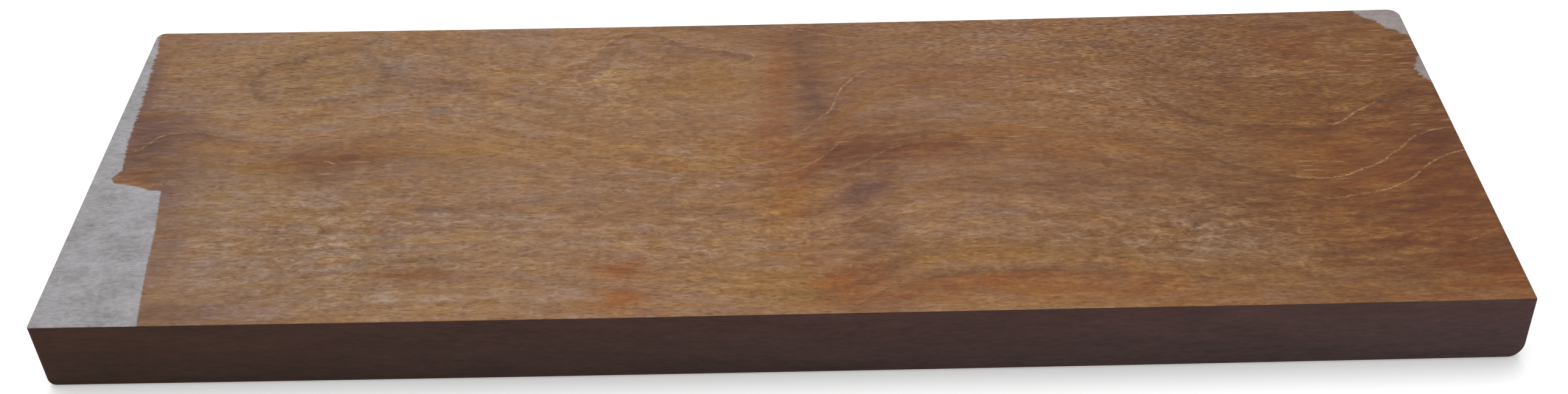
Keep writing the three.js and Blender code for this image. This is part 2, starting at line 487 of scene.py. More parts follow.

# %% [markdown]
# ## Patches and bands of colour
# Oiled mahogany is never one brown. It runs from gold through rust to a bluish plum where the layers turn
# steeply, and it has pale, curly places where the fibres come up to the surface. A patch is a soft
# ellipse: its middle, its two half-widths, its turn in degrees and its strength. A band
# follows one layer: from x, to x, the layer, its half-width and its strength.

# %% The patches and the bands
# The broadest patches, a pale one over the left end and a dark one over the right, make the whole face
# lighter at the left and darker at the right.
PATCHES = {
    "gold": [
        (222, -25, 30, 30, 20, 0.8), (246, -50, 26, 50, 0, 0.7), (205, 20, 30, 14, 0, 0.5),
        (212, -6, 34, 50, 0, 0.5), (-236, -7, 11, 6, 0, 0.6), (-190, -4, 15, 4, 0, 0.9),
        (215, 0, 60, 90, 0, 0.5), (150, 20, 60, 70, 0, 0.2), (6, -78, 24, 10, 0, 0.9),
        (200, -13, 18, 12, -10, 0.9), (-135, 4, 34, 4, 0, 0.6), (14, -74, 16, 10, 0, 0.7),
        (3, -28, 12, 11, 30, 1.0), (0, -40, 10, 6, 0, 0.5), (75, -60, 44, 5, 0, 0.6),
        (-26, 44, 24, 14, 0, 0.6), (-22, -6, 26, 6, 0, 0.6), (-182, 55, 24, 14, 0, 0.5),
        (-75, 5, 40, 8, 0, 0.4), (215, 35, 14, 30, 0, 0.5), (-100, 55, 20, 10, 0, 0.3),
        (150, -74, 30, 8, 0, 0.6), (-30, -70, 30, 8, 0, 0.4), (8, 0, 8, 8, 0, 0.5),
        (60, 8, 26, 4, 0, 0.5), (-18, 4, 16, 8, 0, 0.5), (85, -72, 34, 4, 0, 0.5),
        (238, 10, 16, 100, 0, 0.75), (205, -50, 22, 40, 0, 0.6), (208, 5, 18, 26, 0, 0.4),
    ],
    "rust": [
        (24, 4, 20, 10, 30, 0.9), (10, -12, 16, 4, 25, 0.9), (54, 0, 16, 5, 5, 0.8),
        (104, -3, 14, 4, 0, 0.55), (66, 47, 34, 8, 0, 0.5), (0, 50, 4, 26, 0, 0.8),
        (-2, 18, 7, 16, 0, 0.65), (2, 2, 8, 8, 30, 0.4), (240, -25, 20, 40, 0, 0.6),
        (228, 5, 16, 14, 30, 0.6), (202, 64, 18, 14, 0, 0.7), (-54, -80, 12, 6, 0, 1.0),
        (-56, -66, 10, 5, 0, 0.9), (-166, 2, 26, 9, 5, 0.7), (-204, 8, 22, 7, 5, 0.3),
        (-236, -7, 11, 6, 0, 0.35), (-128, -66, 14, 5, 0, 0.8), (30, -72, 12, 9, 0, 0.7),
        (248, -76, 14, 12, 0, 0.7), (-210, 14, 12, 5, -10, 0.2), (215, -10, 24, 20, 0, 0.35),
        (-12, 0, 14, 10, 0, 0.2), (20, -84, 10, 5, 20, 0.6), (246, 55, 12, 14, 0, 0.5),
        (235, 0, 50, 110, 0, 0.4), (6, -32, 12, 8, 0, 0.4), (225, -35, 40, 40, 0, 0.25),
        (130, -5, 115, 90, 0, 0.22), (228, -40, 34, 50, 0, 0.3), (20, 20, 26, 60, 0, 0.25),
        (20, -62, 10, 16, 0, 0.4), (22, -74, 12, 8, 0, 0.6), (50, 2, 34, 6, 5, 0.5),
    ],
    "plum": [
        (11, 50, 6, 22, 0, 0.45), (15, 28, 7, 9, 0, 0.35), (29, -24, 13, 9, 50, 0.85),
        (18, -36, 9, 6, 0, 0.3), (38, -56, 9, 16, 0, 0.35), (-241, 24, 6, 9, 0, 0.9),
        (-237, 10, 7, 5, 45, 0.8), (-206, -83, 20, 6, 0, 0.6), (36, -87, 12, 4, 0, 0.6),
        (-247, 46, 4, 34, 0, 0.7), (-224, -18, 5, 4, 0, 0.7), (155, 50, 16, 12, -40, 0.2),
        (-150, 58, 14, 8, 0, 0.3), (-217, -48, 8, 36, 6, 0.6), (250, -62, 8, 5, 20, 0.6),
        (-190, -64, 30, 18, 0, 0.15), (-228, -6, 9, 12, 0, 0.6), (-125, 66, 12, 14, 0, 0.25),
        (-30, 66, 16, 4, -10, 0.3), (-238, 15, 14, 20, 0, 1.0), (-226, 22, 12, 9, -20, 0.6),
        (248, 0, 10, 8, 0, 0.5),
    ],
    "pale": [
        (-204, -26, 26, 16, 0, 0.9), (-192, -58, 26, 18, 0, 0.6), (-150, -45, 40, 30, 0, 0.35),
        (140, -50, 34, 14, 0, 0.35), (60, -56, 30, 8, 0, 0.35), (-12, -54, 14, 12, 0, 0.4),
        (-60, 36, 16, 10, 0, 0.4), (-130, 72, 60, 14, 0, 0.35), (150, -62, 30, 8, 0, 0.3),
        (75, 28, 34, 7, 0, 0.3), (-62, 55, 12, 18, 0, 0.3), (85, -45, 30, 10, 0, 0.3),
        (-90, 30, 40, 12, 0, 0.3), (-100, -45, 50, 30, 0, 0.3), (-130, 86, 60, 3, 0, 0.5),
        (130, 38, 6, 4, 0, 0.5), (-215, 0, 95, 150, 0, 0.55), (-212, -50, 16, 42, 6, 0.9),
        (-150, -68, 60, 18, 0, 0.5), (-180, 56, 26, 16, 0, 0.7), (-143, 55, 13, 2, -3, 0.5),
        # (75, -87, 50, 4, 0, 0.6) is a painted highlight: a grey sheen along the front arris, not a pale
        # place in the wood.
        (-110, -80, 60, 10, 0, 0.3), (75, -87, 50, 4, 0, 0.6), (-180, 56, 22, 13, 0, 0.7),
        (-149, 58, 4, 11, 20, 0.9), (-196, 70, 12, 3, 20, 0.5), (-10, 52, 10, 18, 0, 0.3),
        (-20, 0, 20, 8, 0, 0.3), (90, -78, 44, 5, 0, 0.2), (60, 70, 40, 8, 0, 0.2),
    ],
    "dark": [
        (30, 0, 26, 12, 20, 0.85), (12, 64, 11, 20, 0, 0.5), (13, 36, 9, 20, -5, 0.45),
        (33, -22, 16, 12, 40, 0.4), (8, 80, 30, 10, 0, 0.4), (215, 0, 85, 160, 0, 0.48),
        (140, -28, 40, 20, -15, 0.35), (35, -48, 11, 14, 0, 0.45), (-238, 12, 12, 16, 0, 0.7),
        (-166, 3, 22, 8, 0, 0.7), (-168, -10, 14, 6, 0, 0.8), (-125, -10, 34, 7, 0, 0.3),
        (-138, -48, 12, 8, 0, 0.3), (240, -30, 26, 44, 0, 0.7), (232, 12, 22, 16, 30, 0.5),
        (172, -32, 26, 18, -20, 0.45), (158, 40, 30, 22, -20, 0.3), (256, 60, 22, 30, 0, 0.45),
        (190, 3, 30, 14, 0, 0.35), (200, -58, 40, 24, 0, 0.4), (34, -68, 12, 14, 0, 0.25),
        (-128, -66, 12, 5, 0, 0.3), (185, 74, 60, 20, 0, 0.3), (90, -22, 36, 8, -8, 0.5),
        (14, 10, 8, 10, 0, 0.6), (-222, -4, 18, 13, 0, 0.5), (-205, -84, 22, 6, 0, 0.3),
        (-35, 86, 24, 4, 0, 0.5), (35, 25, 34, 36, 0, 0.2), (50, 50, 34, 30, 0, 0.2),
        (120, 60, 34, 14, 0, 0.2), (110, -10, 44, 8, -15, 0.3), (250, 20, 20, 24, 0, 0.4),
        (256, -20, 16, 70, 0, 0.5), (208, -66, 26, 18, 0, 0.4), (205, 18, 24, 12, 0, 0.35),
        (238, -34, 18, 18, 0, 0.3), (70, 82, 60, 7, 0, 0.25), (200, 32, 40, 8, 0, 0.3),
        (-254, 40, 14, 60, 0, 0.3), (-160, -20, 40, 6, 0, 0.2),
    ],
    "curl": [
        (150, -52, 58, 26, 0, 1.0), (-160, -45, 44, 36, 0, 0.7), (-10, -50, 110, 30, 0, 0.6),
        (-60, 50, 24, 26, 0, 0.6), (-20, -5, 60, 16, 0, 0.6), (215, -60, 30, 24, 0, 0.6),
        (-110, 50, 60, 30, 0, 0.5), (130, 30, 30, 20, 0, 0.5),
    ],
    "porous": [
        (160, 62, 80, 40, 0, 1.0), (215, 25, 60, 25, 0, 0.8), (90, 75, 60, 20, 0, 0.7),
        (-200, 60, 60, 30, 0, 0.4), (150, 10, 40, 20, 0, 0.5), (180, -40, 60, 30, 0, 0.3),
    ],
    "streaky": [
        (242, 58, 20, 16, 0, 1.0), (200, 42, 24, 5, 0, 0.7), (240, 20, 18, 9, 0, 0.6),
        (80, 30, 36, 10, 0, 0.4), (-215, 50, 30, 25, 0, 0.35), (-180, 10, 30, 14, 0, 0.3),
        (200, -14, 20, 6, 0, 0.4), (80, 6, 40, 8, 0, 0.4),
    ],
}
BANDS = {
    "gold": [(82, 152, -5, 6, 0.5), (40, 130, -69, 4, 0.45), (45, 150, -84, 11, 0.5), (44, 90, -7, 4, 0.4)],
    "rust": [
        (46, 132, -82, 6, 0.65), (60, 160, -88, 8, 0.35), (80, 140, -9, 3, 0.4), (200, 256, -12, 9, 0.4),
    ],
    "plum": [(-232, -150, 44, 4, 0.25)],
    "pale": [(-150, -60, -10, 3, 0.3), (180, 250, 34, 2, 0.2)],
    "dark": [
        (-110, -20, -30, 5, 0.4), (-150, -60, -12, 3, 0.25), (143, 192, -6, 4, 0.4), (150, 200, 24, 5, 0.35),
        (44, 72, -26, 4, 0.4), (-150, -80, 26, 3, 0.25),
    ],
}


def patch_strength(name, x, y, layer):
    """The strength of a kind of patch at each place, from 0 to 1.

    In words: a patch covers strength times e to the power of minus the squared distance from its
    middle, with the distance measured in half-widths. Patches that overlap each cover their share
    of what the others leave over.
    """
    left_over = np.ones_like(x)
    for x0, y0, half_x, half_y, turn, strength in PATCHES[name]:
        cos, sin = math.cos(math.radians(turn)), math.sin(math.radians(turn))
        across = ((x - x0) * cos + (y - y0) * sin) / half_x
        up = ((y - y0) * cos - (x - x0) * sin) / half_y
        left_over *= 1 - strength * np.exp(-(across**2) - up**2)
    for start, end, middle_layer, half, strength in BANDS.get(name, []):
        left_over *= 1 - strength * fade(x, start, end, 14) * np.exp(-(((layer - middle_layer) / half) ** 2))
    return 1 - left_over


strengths = {name: patch_strength(name, x, y, layer) for name in PATCHES}
attribute("tones", np.stack([strengths[name] for name in ("gold", "rust", "plum", "pale")], axis=1))
attribute("figure", np.stack([strengths[name] for name in ("dark", "curl", "porous", "streaky")], axis=1))
print({name: round(float(values.mean()), 3) for name, values in strengths.items()})

# %% [markdown]
# ## Which way each part of the skin faces
# The planed faces, the sawn long edges and the end grain are the same wood cut in different ways, so one
# material shows all of them. It needs to know which way the skin faces, and the skin's normals say so.

# %% Store how far each point faces up, sideways and endways
normals = np.empty(len(points) * 3, np.float32)
mesh.vertex_normals.foreach_get("vector", normals)
facing = normals.reshape(-1, 3)
attribute("facing", np.column_stack([facing, np.ones(len(facing))]))

# %% [markdown]
# ## A flat map for the finish
# A program that can't run this material needs it as a picture, and a picture needs a map of the skin laid
# flat. The two faces, the two long edges and the two ends are set out side by side on a square sheet, all
# at the same scale, with a gap between them.

# %% Lay the skin out flat
GAP = 6.0


def wall_map(side):
    """The flat place of each corner of a wall's faces: along the wall, and up over both rounded edges."""
    steps = np.linalg.norm(np.diff(curves[side][levels // 2], axis=0), axis=1)
    rises = np.hypot(np.diff(heights), np.diff(walls[side]))
    along, up = (np.concatenate([[0], np.cumsum(parts)]) for parts in (steps, rises))
    grid = np.stack(np.meshgrid(along, up), axis=-1)
    return np.stack([grid[:-1, :-1], grid[:-1, 1:], grid[1:, 1:], grid[1:, :-1]], axis=2)


tall = {side: wall_map(side) for side in SIDES}
wall_depth = max(float(part[..., 1].max()) for part in tall.values())
sheet_side = LENGTH + 2 * GAP + 2
rows = {"top": GAP, "under": 2 * GAP + WIDTH + 1}
rows["front"] = rows["under"] + WIDTH + 1 + GAP
rows["back"] = rows["front"] + wall_depth + GAP
rows["right"] = rows["left"] = rows["back"] + wall_depth + GAP
columns = {side: GAP for side in SIDES}
columns["left"] = 2 * GAP + WIDTH
wall_uv = np.concatenate([tall[side] + [columns[side], rows[side]] for side in SIDES], axis=1).reshape(-1, 2)
flat = points[:, :2] + [LENGTH / 2 + GAP, WIDTH / 2 + 1]
under_uv = flat[grid_faces(under_numbers)[:, ::-1]].reshape(-1, 2) + [0, rows["under"]]
top_uv = flat[grid_faces(top_numbers)].reshape(-1, 2) + [0, rows["top"]]
uv = np.concatenate([wall_uv, under_uv, top_uv]) / sheet_side
uv_map = mesh.uv_layers.new(name="OFBake")
uv_map.uv.foreach_set("vector", uv.astype(np.float32).ravel())
print("flat map fills", uv.min(axis=0).round(3), "to", uv.max(axis=0).round(3))

# %% [markdown]
# ## Colours and one helper for nodes
# Colours are written as sRGB hex, which is what a colour picker shows, and turned to the linear values
# that a renderer adds up.

# %% Hex colours and the node helper
wood = bpy.data.materials.new("oiled_mahogany")
wood.use_nodes = True
tree = wood.node_tree
tree.nodes.clear()


def linear(hex_colour):
    """The linear RGBA of an sRGB hex colour."""
    shares = [int(hex_colour[i : i + 2], 16) / 255 for i in (1, 3, 5)]
    return (*(s / 12.92 if s <= 0.04045 else ((s + 0.055) / 1.055) ** 2.4 for s in shares), 1.0)


def add(kind, inputs=(), output=0, **settings):
    """Adds one node with its settings, fills or links its inputs, and returns one of its outputs."""
    node = tree.nodes.new(kind)
    for name, value in settings.items():
        setattr(node, name, value)
    for name, value in dict(inputs).items():
        if isinstance(value, bpy.types.NodeSocket):
            tree.links.new(value, node.inputs[name])
        else:
            node.inputs[name].default_value = value
    return node.outputs[output]


MATH, VECTOR, MIX, RANGE = "ShaderNodeMath", "ShaderNodeVectorMath", "ShaderNodeMix", "ShaderNodeMapRange"
NOISE, CELLS, MAPPING = "ShaderNodeTexNoise", "ShaderNodeTexVoronoi", "ShaderNodeMapping"
STORED, SPLIT, SPLIT_COLOUR = "ShaderNodeAttribute", "ShaderNodeSeparateXYZ", "ShaderNodeSeparateColor"
FACTOR, COLOUR_A, COLOUR_B = 0, 6, 7  # the inputs of a Mix node that is set to colour
COLOURS = {"output": 2, "data_type": "RGBA"}
EASED = {"interpolation_type": "SMOOTHSTEP"}

# %% [markdown]
# ## The wood
# True mahogany, planed and wiped with oil. Its colour has several scales: broad layers of brown a
# centimetre wide, streaks of fibre about a millimetre wide, and open pores 0.2 mm wide and a few
# millimetres long, which look like short dark dashes. All of them are stretched along the grain.

# %% Places on the wood, in millimetres of the drawing
object_place = add("ShaderNodeTexCoord", output="Object")
from_frame = tuple(float(-value) for value in to_frame)
in_mm = add(VECTOR, {0: object_place, 1: (1 / MM,) * 3, 2: from_frame}, operation="MULTIPLY_ADD")
x_mm, y_mm, z_mm = (add(SPLIT, {0: in_mm}, output=axis) for axis in "XYZ")
layer_here = add(STORED, output="Fac", attribute_name="layer")
figure = add(STORED, output="Color", attribute_name="figure")
dark_here, curl_here, porous_here = (
    add(SPLIT_COLOUR, {0: figure}, output=channel) for channel in ("Red", "Green", "Blue"))
streaky_here = add(STORED, output="Alpha", attribute_name="figure")


def stretched(source, along, across, detail=2.0, roughness=0.5, distortion=0.0, shift=0.0):
    """A soft random pattern whose marks are this many mm along the grain and across it."""
    scale = (1 / along, 1 / across, 1 / across)
    place = add(MAPPING, {"Vector": source, "Scale": scale, "Location": (shift,) * 3})
    look = {"Scale": 1.0, "Detail": detail, "Roughness": roughness, "Distortion": distortion}
    return add(NOISE, {"Vector": place, **look})


def weighted_sum(start, *parts):
    """start plus each pattern's distance from its middle value, times its weight."""
    total = start
    for pattern, weight in parts:
        centred = add(MATH, {0: pattern, 1: 0.5}, operation="SUBTRACT")
        total = add(MATH, {0: centred, 1: weight, 2: total}, operation="MULTIPLY_ADD")
    return total


# %% The fibres wander: a little everywhere, after the layers, and more where the wood is curly
FOLLOW = 0.12  # how much of the layers' bends the fibres take up
DRIFT_MM, RIPPLE_MM = 6.0, 3.0
drift = stretched(in_mm, 70, 22)
ripple = stretched(in_mm, 9, 6, shift=2)
ripple_reach = add(MATH, {0: curl_here, 1: RIPPLE_MM}, operation="MULTIPLY")
follow = add(MATH, {0: layer_here, 1: FOLLOW}, operation="MULTIPLY")
y_fibre = add(MATH, {0: y_mm, 1: 1 - FOLLOW, 2: follow}, operation="MULTIPLY_ADD")
y_fibre = weighted_sum(y_fibre, (drift, DRIFT_MM), (ripple, ripple_reach))
fibre = add("ShaderNodeCombineXYZ", {"X": x_mm, "Y": y_fibre, "Z": z_mm})
layered = add("ShaderNodeCombineXYZ", {"X": x_mm, "Y": layer_here, "Z": z_mm})

# %% [markdown]
# The lightness of the wood is one number, added up from patterns of different sizes. A colour ramp turns
# it into browns. Red, green and blue change by about the same amount along it, as they do in a photograph
# of oiled wood, so dark fibres are strong in colour and light fibres are softer.

# %% Lightness from layers, streaks and fibres
layers_wide = stretched(layered, 60, 8, detail=3)
layers_fine = stretched(layered, 45, 2.4, detail=2, shift=3)
streaks = stretched(fibre, 13, 2.4, detail=4, roughness=0.65)
fibres = stretched(fibre, 3.6, 0.9, detail=2, roughness=0.6, shift=7)
specks = stretched(fibre, 1.2, 0.7, detail=2, roughness=0.7, shift=17)
hairs = stretched(fibre, 3.5, 0.32, detail=1, shift=11)
mottle = stretched(fibre, 5.5, 2.8, detail=3, roughness=0.6, distortion=1.3, shift=5)
pebble_place = add(MAPPING, {"Vector": fibre, "Scale": (1 / 9, 1 / 4.5, 1 / 4.5)})
pebbles = add(CELLS, {"Vector": pebble_place, "Scale": 1.0, "Smoothness": 0.6}, feature="SMOOTH_F1")
mottle_weight = add(MATH, {0: curl_here, 1: 1.0, 2: 0.42}, operation="MULTIPLY_ADD")
pebble_weight = add(MATH, {0: curl_here, 1: -0.4}, operation="MULTIPLY")
hair_weight = add(MATH, {0: porous_here, 1: 1.6, 2: 0.22}, operation="MULTIPLY_ADD")
lightness = weighted_sum(
    0.55, (layers_wide, 0.32), (layers_fine, 0.22), (streaks, 0.4), (fibres, 0.48), (specks, 0.22),
    (hairs, hair_weight), (mottle, mottle_weight), (pebbles, pebble_weight))
BROWNS = {0.0: "#613406", 0.3: "#774c24", 0.55: "#8a6240", 0.8: "#9f7b5d", 1.0: "#b6997c"}
browns = tree.nodes.new("ShaderNodeValToRGB")
tree.links.new(lightness, browns.inputs[0])
stops = browns.color_ramp.elements
stops.remove(stops[0])
for position, colour in BROWNS.items():
    stop = stops[0] if position == 0 else stops.new(position)
    stop.position = position
    stop.color = linear(colour)
oiled = browns.outputs["Color"]

# %% [markdown]
# The patches tint the browns without hiding them: each multiplies the colour under it. Their edges are
# broken up by the streaks, because a stain follows the fibres. Two weak tints, one cool and one warm,
# lie over everything in streaks of their own.

# %% Tints for the streaks and the patches
COOL, WARM = (0.94, 0.99, 1.18), (1.04, 1.0, 0.75)
TINTS = {
    "gold": (0.98, 0.88, 0.32), "rust": (0.92, 0.6, 0.22), "plum": (0.64, 0.54, 0.72),
    "pale": (1.0, 1.18, 1.44), "dark": (0.55, 0.46, 0.37),
}
hue_streaks = stretched(fibre, 13, 5.5, detail=2, roughness=0.5, shift=23)
hue_clouds = stretched(layered, 42, 10, detail=2, shift=29)
hue = weighted_sum(0.5, (hue_streaks, 0.7), (hue_clouds, 0.7))
hue_share = add(RANGE, {"Value": hue, "From Min": 0.35, "From Max": 0.65})
cooled, warmed = (add(VECTOR, {0: oiled, 1: tint}, operation="MULTIPLY") for tint in (COOL, WARM))
oiled = add(MIX, {FACTOR: hue_share, COLOUR_A: cooled, COLOUR_B: warmed}, **COLOURS)
tones = add(STORED, output="Color", attribute_name="tones")
amounts = [add(SPLIT_COLOUR, {0: tones}, output=channel) for channel in ("Red", "Green", "Blue")]
amounts += [add(STORED, output="Alpha", attribute_name="tones"), dark_here]
stain_streaks = stretched(fibre, 15, 3.6, detail=2, roughness=0.5, shift=33)
for tint, amount in zip(TINTS.values(), amounts):
    broken = weighted_sum(1.0, (stain_streaks, 2.0))
    amount = add(MATH, {0: broken, 1: amount}, operation="MULTIPLY", use_clamp=True)
    tinted = add(VECTOR, {0: oiled, 1: tint}, operation="MULTIPLY")
    oiled = add(MIX, {FACTOR: amount, COLOUR_A: oiled, COLOUR_B: tinted}, **COLOURS)

# %% [markdown]
# ## Pores
# Each pore is a vessel that the plane has cut open lengthways: a groove a few millimetres long. A Voronoi
# pattern stretched along the grain gives one dash to each cell, and a draw for each cell thins them out.

# %% Dark dashes
def dashes(along, across, size, density, shift, core=0.4):
    """Dashes on a spacing of along mm and across mm, from 0 to 1. The density is the share that is kept.

    In words: a dash is 1 within core x size of the middle of its cell, and falls to 0 at size.
    """
    scale = (1 / along, 1 / across, 1 / across)
    place = add(MAPPING, {"Vector": fibre, "Scale": scale, "Location": (shift,) * 3})
    nearest, draw = (
        add(CELLS, {"Vector": place, "Scale": 1.0}, output=name) for name in ("Distance", "Color"))
    drawn = add(SPLIT_COLOUR, {0: draw}, output="Red")
    kept = add(MATH, {0: drawn, 1: density}, operation="LESS_THAN")
    mark = add(RANGE, {"Value": nearest, "From Min": size, "From Max": size * core})
    return add(MATH, {0: mark, 1: kept}, operation="MULTIPLY")


PORE_COLOUR = "#562a04"
crowding = add(RANGE, {
    "Value": stretched(layered, 60, 12, detail=2, shift=20),
    "From Min": 0.35, "From Max": 0.65, "To Min": 0.2, "To Max": 0.6})
density = add(MATH, {0: porous_here, 1: 0.5, 2: crowding}, operation="MULTIPLY_ADD")
short_pores = dashes(3.6, 0.8, 0.42, density, 31)
long_pores = dashes(13.0, 1.7, 0.32, 0.25, 57, core=0.0)
smudges = dashes(9.0, 2.6, 0.42, 0.4, 63, core=0.0)
long_dark = dashes(16.0, 1.3, 0.34, streaky_here, 83)
long_pale = dashes(12.0, 1.5, 0.36, streaky_here, 97)
pore_depth = add(MATH, {0: porous_here, 1: 0.45, 2: 0.5}, operation="MULTIPLY_ADD")
pores = add(MATH, {0: short_pores, 1: long_pores}, operation="MAXIMUM")
pore_shade = add(MATH, {0: pores, 1: pore_depth}, operation="MULTIPLY")
oiled = add(MIX, {FACTOR: pore_shade, COLOUR_A: oiled, COLOUR_B: linear(PORE_COLOUR)}, **COLOURS)
DASHES = ((smudges, 0.3, "#5c3614"), (long_pale, 0.5, "#a8825e"), (long_dark, 0.6, "#4c280c"))
for dash, weight, dash_colour in DASHES:
    dash = add(MATH, {0: dash, 1: weight}, operation="MULTIPLY")
    oiled = add(MIX, {FACTOR: dash, COLOUR_A: oiled, COLOUR_B: linear(dash_colour)}, **COLOURS)

# %% [markdown]
# ## Lines on the face
# A thread is drawn where the stored distance is under about half a millimetre. It wriggles, and it
# breaks up where the plane just missed it. The dark side and the creases use such distances too.

# %% Draw the dark sides, the creases and the threads
SIDE_TINT, CREASE_TINT, THREAD_COLOUR = (0.7, 0.6, 0.5), (0.68, 0.63, 0.65), "#c69c6c"
line_here, loose_here, crease_here, line_pale_here, line_dark_here, loose_pale_here, crease_dark_here = (
    add(STORED, output="Fac", attribute_name=name)
    for name in ("line", "loose", "crease", "line_pale", "line_dark", "loose_pale", "crease_dark"))
wriggle = stretched(in_mm, 3.0, 2.4, detail=4, roughness=0.65, shift=40)
waver = stretched(fibre, 9, 3, detail=2, shift=43)

past_line = weighted_sum(line_here, (wriggle, 1.6), (waver, 1.6))
under_line = add(RANGE, {"Value": past_line, "From Min": 0.5, "From Max": -0.4})
clearing = add(RANGE, {"Value": past_line, "From Min": -6.0, "From Max": -0.4}, **EASED)
shade = add(MATH, {0: under_line, 1: clearing}, operation="MULTIPLY")
shade_break = stretched(in_mm, 22, 10, shift=48)
shade_break = add(RANGE, {"Value": shade_break, "From Min": 0.3, "From Max": 0.6, "To Min": 0.3})
shade = add(MATH, {0: shade, 1: line_dark_here}, operation="MULTIPLY")
shade = add(MATH, {0: shade, 1: shade_break}, operation="MULTIPLY")
shaded = add(VECTOR, {0: oiled, 1: SIDE_TINT}, operation="MULTIPLY")
oiled = add(MIX, {FACTOR: shade, COLOUR_A: oiled, COLOUR_B: shaded}, **COLOURS)

near_crease = add(MATH, {0: weighted_sum(crease_here, (wriggle, 2.0), (waver, 3.0))}, operation="ABSOLUTE")
crease_shade = add(RANGE, {"Value": near_crease, "From Min": 3.6, "From Max": 0.2}, **EASED)
crease_break = stretched(in_mm, 9, 7, shift=46)
crease_break = add(RANGE, {"Value": crease_break, "From Min": 0.25, "From Max": 0.5, "To Min": 0.3})
crease_shade = add(MATH, {0: crease_shade, 1: crease_break}, operation="MULTIPLY")
crease_shade = add(MATH, {0: crease_shade, 1: crease_dark_here}, operation="MULTIPLY")
creased = add(VECTOR, {0: oiled, 1: CREASE_TINT}, operation="MULTIPLY")
oiled = add(MIX, {FACTOR: crease_shade, COLOUR_A: oiled, COLOUR_B: creased}, **COLOURS)

THREAD_EDGE, THREAD_MIDDLE = 0.65, 0.05  # mm from the line at which a thread starts, and is palest
THREAD_STRENGTH = 0.7
beads = stretched(in_mm, 2.2, 1.4, detail=2, roughness=0.7, shift=44)
breaks = add(RANGE, {"Value": beads, "From Min": 0.4, "From Max": 0.66, "To Min": 0.08})
for distance, paleness in ((line_here, line_pale_here), (loose_here, loose_pale_here)):
    off = add(MATH, {0: weighted_sum(distance, (wriggle, 1.8))}, operation="ABSOLUTE")
    thread = add(RANGE, {"Value": off, "From Min": THREAD_EDGE, "From Max": THREAD_MIDDLE})
    thread = add(MATH, {0: thread, 1: breaks}, operation="MULTIPLY")
    thread = add(MATH, {0: thread, 1: paleness}, operation="MULTIPLY")
    thread = add(MATH, {0: thread, 1: THREAD_STRENGTH}, operation="MULTIPLY")
    oiled = add(MIX, {FACTOR: thread, COLOUR_A: oiled, COLOUR_B: linear(THREAD_COLOUR)}, **COLOURS)

# %% [markdown]
# ## Bruises and flecks
# A few bluish streaks are iron or mineral stain, one dark speck is a pin knot, and the pale flecks are
# places where the curly fibres come up through the face. Each is a soft ellipse with a wavering rim.

# %% Small marks: x, y, half length, half width, strength
BRUISES = [
    (-122, -58, 11, 1.5, 0.8), (-147, -59, 5, 2.0, 0.7), (-131, 31, 4, 2.2, 0.6), (-126, -30, 5, 1.5, 0.7),
    (-171, -37, 3, 1.3, 0.6), (-162, -41, 3, 1.2, 0.5), (237, 24.5, 9, 1.3, 0.8), (-61, -48.5, 6, 1.2, 0.6),
    (-24, -71.5, 5, 1.0, 0.5), (62, -64, 3.5, 0.8, 0.6), (9, -80, 7, 1.3, 0.5), (-40, -28, 4, 1.6, 0.5),
    (53, 9.3, 7, 0.8, 0.5), (-90, -66, 3, 1.4, 0.4), (80, -35.5, 9, 1.6, 0.5), (-100, 65, 5, 0.8, 0.5),
]
FLECKS = [
    (147, -30.5, 5, 1.5, 0.7), (136, -50, 5, 1.4, 0.7), (181, -66.5, 5, 1.3, 0.8), (129, 38.5, 4, 2.5, 0.6),
    (124, -63, 3, 1.0, 0.7), (-200, -30, 6, 1.2, 0.7), (-183, -24.5, 7, 1.0, 0.6), (-205, -66, 8, 1.0, 0.5),
    (113, -42, 5, 1.2, 0.5), (166, 51, 4, 1.6, 0.5), (160, -60, 4, 1.0, 0.5), (-192, -54, 8, 1.0, 0.5),
    (113, -64, 4, 1.0, 0.5), (191, -69, 3, 1.0, 0.5), (154, -53, 5, 1.0, 0.4), (-198, -47, 9, 0.9, 0.4),
]
KNOTS = [
    (146.5, -47, 1.5, 1.1, 1.0), (-236, 88.2, 3.0, 0.8, 1.0), (101, 45.2, 4, 0.4, 0.7),
    (8, 58, 1.5, 0.8, 0.5),
]
BRUISE_TINT, FLECK_TINT, KNOT_TINT = (0.6, 0.7, 0.95), (1.25, 1.35, 1.45), (0.42, 0.34, 0.34)

jitter = add(NOISE, {"Vector": in_mm, "Scale": 0.35, "Detail": 3.0}, output="Color")
jitter = add(VECTOR, {0: jitter, 1: (0.5, 0.5, 0.5)}, operation="SUBTRACT")
wavering = add(VECTOR, {0: jitter, 1: (8.0, 2.5, 0.0), 2: in_mm}, operation="MULTIPLY_ADD")


def soft_spots(spots):
    """The strongest of a list of soft ellipses at each place."""
    strongest = 0.0
    for x0, y0, half_x, half_y, strength in spots:
        fit = {"Scale": (1 / half_x, 1 / half_y, 0), "Location": (-x0 / half_x, -y0 / half_y, 0)}
        from_middle = add(MAPPING, {"Vector": wavering, **fit})
        distance = add(VECTOR, {0: from_middle}, output="Value", operation="LENGTH")
        spot = add(RANGE, {"Value": distance, "From Min": 1.6, "From Max": 0.5, "To Max": strength})
        strongest = add(MATH, {0: spot, 1: strongest}, operation="MAXIMUM")
    return strongest


for spots, tint in ((BRUISES, BRUISE_TINT), (FLECKS, FLECK_TINT), (KNOTS, KNOT_TINT)):
    marked = add(VECTOR, {0: oiled, 1: tint}, operation="MULTIPLY")
    oiled = add(MIX, {FACTOR: soft_spots(spots), COLOUR_A: oiled, COLOUR_B: marked}, **COLOURS)

# %% [markdown]
# ## Dry wood
# Without oil the same wood is a pale, pinkish grey, because its rough fibres scatter the light before it
# gets deep enough to pick up colour. The edge of the oil is ragged: it ran a little way along each fibre.
# Just inside the edge the oil dried thickest, so the wood there is darker and more purple.

